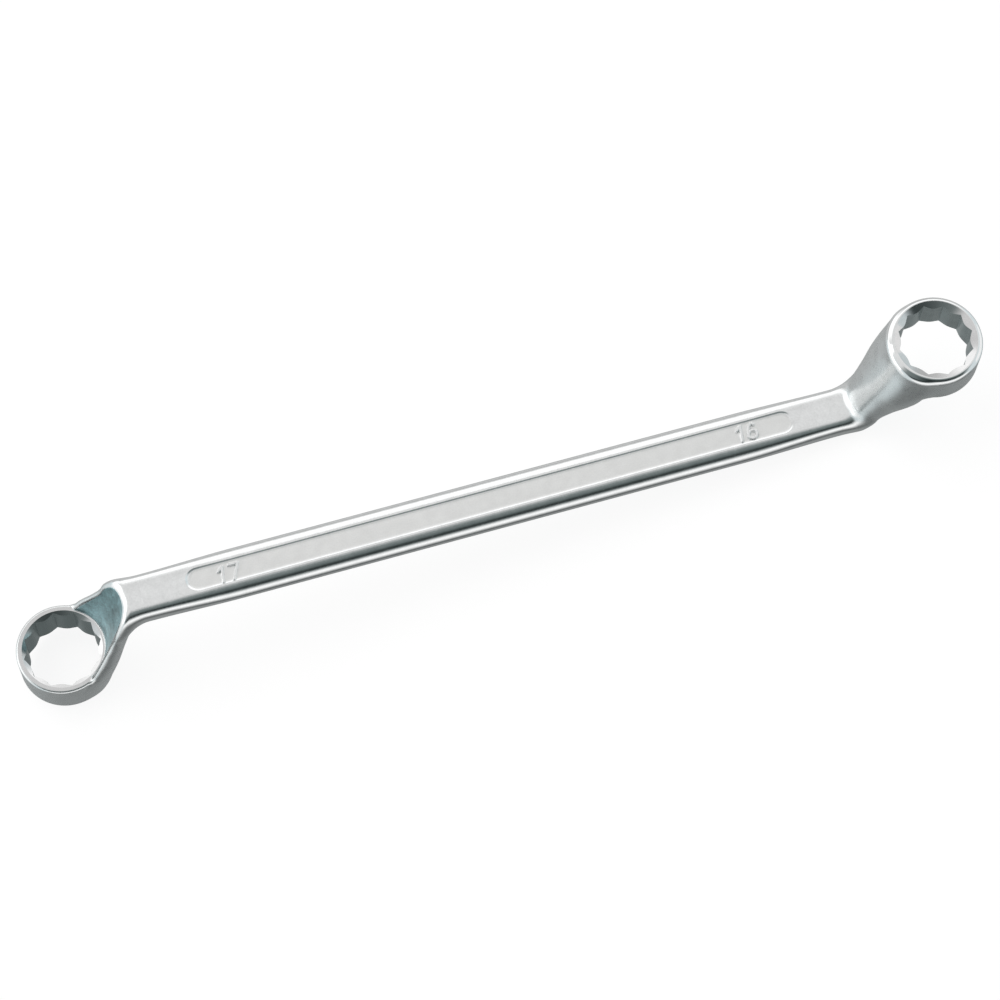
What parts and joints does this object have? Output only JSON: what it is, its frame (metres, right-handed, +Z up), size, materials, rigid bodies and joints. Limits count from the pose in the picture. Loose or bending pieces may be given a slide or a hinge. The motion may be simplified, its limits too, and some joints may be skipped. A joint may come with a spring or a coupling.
{
  "type": "ring spanner",
  "caption": "Double-ended ring spanner with deep offset ring heads, twelve-point bores and a slim oval shank with a recessed panel on each face.",
  "frame": {"origin": "centre of the bounding box's bottom face, which is the bench that the spanner rests on", "axes": "+X along the spanner from the 17 mm head to the 16 mm head, +Z up, XZ its mirror plane; the shank leans 8.6 degrees, its 16 mm end down, because the spanner stands on the 17 mm ring and on the other elbow"},
  "size_m": [0.2526, 0.0232, 0.0352],
  "materials": {
    "satin_chrome": "satin chrome plate over a drop forging"
  },
  "bodies": {
    "root": {"shank": "satin_chrome", "neck_17": "satin_chrome", "ring_17": "satin_chrome", "neck_16": "satin_chrome", "ring_16": "satin_chrome"}
  },
  "joints": []
}
